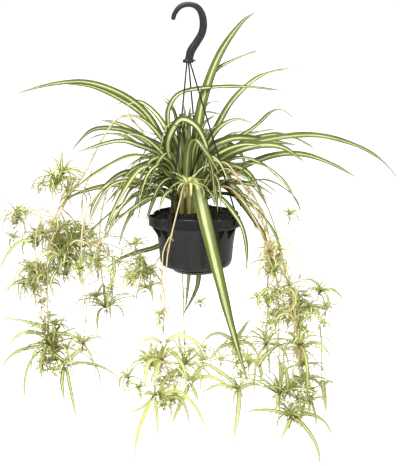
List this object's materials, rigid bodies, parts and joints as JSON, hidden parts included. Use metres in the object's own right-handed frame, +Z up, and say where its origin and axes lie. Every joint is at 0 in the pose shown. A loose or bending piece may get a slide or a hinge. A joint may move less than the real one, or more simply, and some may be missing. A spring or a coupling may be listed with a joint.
{
  "type": "potted spider plant",
  "caption": "Spider plant in a round hanging pot on a hook with strands; striped leaves arch out, and straw runners carry tufted plantlets down past the pot.",
  "frame": {"origin": "seat of the hanging hook, the inside of the top of its bend, on its middle line", "axes": "+Z up; +X to the right of the pot; +Y to the back, away from the long front leaf"},
  "size_m": [0.7189, 0.4823, 0.8206],
  "materials": {
    "charcoal_plastic": "moulded charcoal plastic, satin with soft highlights",
    "black_strand": "thin black moulded plastic",
    "potting_mix": "dark moist peat mix with lumps and pale grit",
    "pale_sheath": "pale ribbed leaf bases",
    "striped_leaf": "green leaf with a cream stripe along its middle, soft sheen",
    "straw_stem": "smooth straw-coloured stem, paler towards its tip",
    "plantlet_leaf": "pale yellow-green leaf with a cream stripe"
  },
  "bodies": {
    "root": {"pot": "charcoal_plastic", "drip_tray": "charcoal_plastic", "potting_mix": "potting_mix", "hanger_hook": "charcoal_plastic", "hanger_strand_left": "black_strand", "hanger_strand_right": "black_strand", "hanger_strand_back": "black_strand", "crown": "pale_sheath", "leaf_back_arch": "striped_leaf", "leaf_back_hanging": "striped_leaf", "leaf_back_left_arch": "striped_leaf", "leaf_back_left_high": "striped_leaf", "leaf_back_left_long": "striped_leaf", "leaf_back_left_low": "striped_leaf", "leaf_back_low_right": "striped_leaf", "leaf_back_right_arch": "striped_leaf", "leaf_back_right_broad": "striped_leaf", "leaf_back_right_tall": "striped_leaf", "leaf_front_folded": "striped_leaf", "leaf_front_left_broad": "striped_leaf", "leaf_front_left_droop": "striped_leaf", "leaf_front_left_low": "striped_leaf", "leaf_front_long": "striped_leaf", "leaf_front_right_droop": "striped_leaf", "leaf_front_right_low": "striped_leaf", "leaf_left_arch": "striped_leaf", "leaf_left_high": "striped_leaf", "leaf_left_level": "striped_leaf", "leaf_left_long": "striped_leaf", "leaf_left_low": "striped_leaf", "leaf_right_arch": "striped_leaf", "leaf_right_broad": "striped_leaf", "leaf_right_front_arch": "striped_leaf", "leaf_right_long": "striped_leaf", "leaf_tall": "striped_leaf", "plantlet_back": "plantlet_leaf", "plantlet_back_left": "plantlet_leaf", "plantlet_back_right": "plantlet_leaf", "plantlet_front": "plantlet_leaf", "plantlet_front_right": "plantlet_leaf", "plantlet_front_right_node": "plantlet_leaf", "plantlet_front_upper": "plantlet_leaf", "plantlet_left_bottom": "plantlet_leaf", "plantlet_left_low": "plantlet_leaf", "plantlet_left_low_node": "plantlet_leaf", "plantlet_left_mid": "plantlet_leaf", "plantlet_left_upper": "plantlet_leaf", "plantlet_right": "plantlet_leaf", "plantlet_right_far": "plantlet_leaf", "plantlet_right_node": "plantlet_leaf", "runner_back": "straw_stem", "runner_back_left": "straw_stem", "runner_back_right": "straw_stem", "runner_front": "straw_stem", "runner_front_right": "straw_stem", "runner_left_high": "straw_stem", "runner_left_low": "straw_stem", "runner_right": "straw_stem", "runner_right_far": "straw_stem"}
  },
  "joints": []
}
